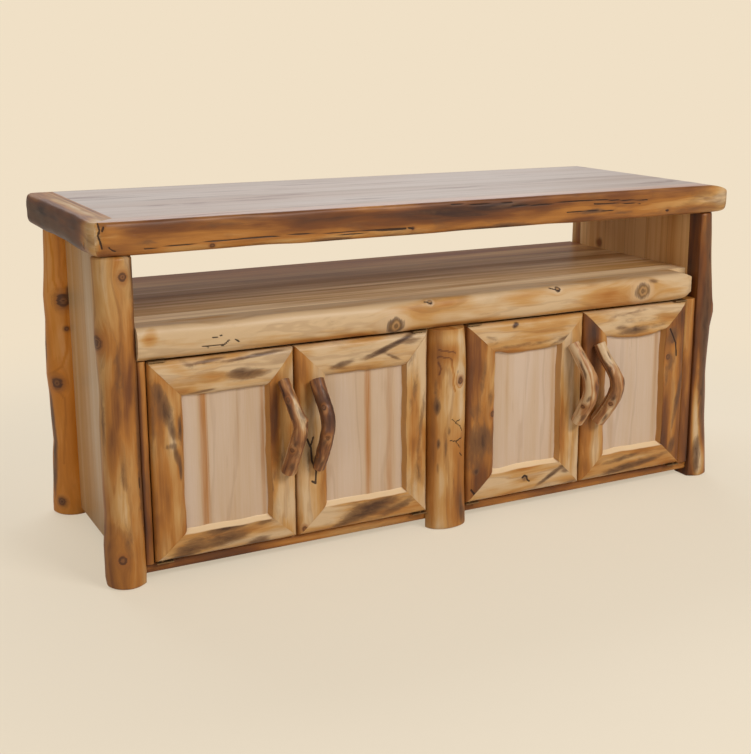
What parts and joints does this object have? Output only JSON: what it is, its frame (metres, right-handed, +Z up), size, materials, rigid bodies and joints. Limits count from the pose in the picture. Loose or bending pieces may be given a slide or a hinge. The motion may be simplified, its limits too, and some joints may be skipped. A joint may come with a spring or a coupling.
{
  "type": "log tv stand with doors",
  "caption": "Long low television stand of peeled logs: slab top with log edges, open media bay, and paired panel doors with bent branch handles on each side of a half log.",
  "frame": {"origin": "on the floor under the middle of the overall box, handles included", "axes": "+X along the stand to the right as seen from the front, -Y is the front, +Z up"},
  "size_m": [1.606, 0.6445, 0.76],
  "materials": {
    "log": "peeled aspen log, honey satin lacquer, brown smudges, knots and checks",
    "board": "glued pine or aspen boards, satin lacquer",
    "branch": "bent branch, red brown, lacquered",
    "pivot_steel": "zinc plated",
    "catch": "dark brown, matte"
  },
  "bodies": {
    "cabinet": {"top_panel": "board", "top_edge_front": "log", "top_edge_left": "log", "top_edge_right": "log", "post_front_left": "log", "post_front_right": "log", "post_rear_left": "log", "post_rear_right": "log", "centre_post": "log", "side_panel_left": "board", "side_panel_right": "board", "top_cleat_left": "board", "top_cleat_right": "board", "shelf_panel": "board", "shelf_front_rail": "log", "bottom_front_rail": "board", "bottom_panel": "board", "back_panel": "board", "centre_stile": "board", "centre_divider": "board", "hinge_stile_left": "board", "hinge_stile_right": "board", "catch_left": "catch", "catch_right": "catch", "door_1_pivot_top": "pivot_steel", "door_1_pivot_bottom": "pivot_steel", "door_2_pivot_top": "pivot_steel", "door_2_pivot_bottom": "pivot_steel", "door_3_pivot_top": "pivot_steel", "door_3_pivot_bottom": "pivot_steel", "door_4_pivot_top": "pivot_steel", "door_4_pivot_bottom": "pivot_steel"},
    "door_1": {"door_1_rail_top": "log", "door_1_rail_bottom": "log", "door_1_stile_hinge": "log", "door_1_stile_pull": "log", "door_1_panel": "board", "door_1_handle": "branch", "door_1_strike": "pivot_steel"},
    "door_2": {"door_2_rail_top": "log", "door_2_rail_bottom": "log", "door_2_stile_hinge": "log", "door_2_stile_pull": "log", "door_2_panel": "board", "door_2_handle": "branch", "door_2_strike": "pivot_steel"},
    "door_3": {"door_3_rail_top": "log", "door_3_rail_bottom": "log", "door_3_stile_hinge": "log", "door_3_stile_pull": "log", "door_3_panel": "board", "door_3_handle": "branch", "door_3_strike": "pivot_steel"},
    "door_4": {"door_4_rail_top": "log", "door_4_rail_bottom": "log", "door_4_stile_hinge": "log", "door_4_stile_pull": "log", "door_4_panel": "board", "door_4_handle": "branch", "door_4_strike": "pivot_steel"}
  },
  "joints": [
    {"name": "door_1_hinge", "type": "hinge", "parent": "cabinet", "child": "door_1", "pos_m": [-0.6863, -0.24225, 0.2575], "axis": [0, 0, -1], "range_deg": [0, 105]},
    {"name": "door_2_hinge", "type": "hinge", "parent": "cabinet", "child": "door_2", "pos_m": [-0.07465, -0.24225, 0.2575], "axis": [0, 0, 1], "range_deg": [0, 85]},
    {"name": "door_3_hinge", "type": "hinge", "parent": "cabinet", "child": "door_3", "pos_m": [0.05735, -0.24225, 0.2575], "axis": [0, 0, -1], "range_deg": [0, 85]},
    {"name": "door_4_hinge", "type": "hinge", "parent": "cabinet", "child": "door_4", "pos_m": [0.6703, -0.24225, 0.2575], "axis": [0, 0, 1], "range_deg": [0, 105]}
  ]
}
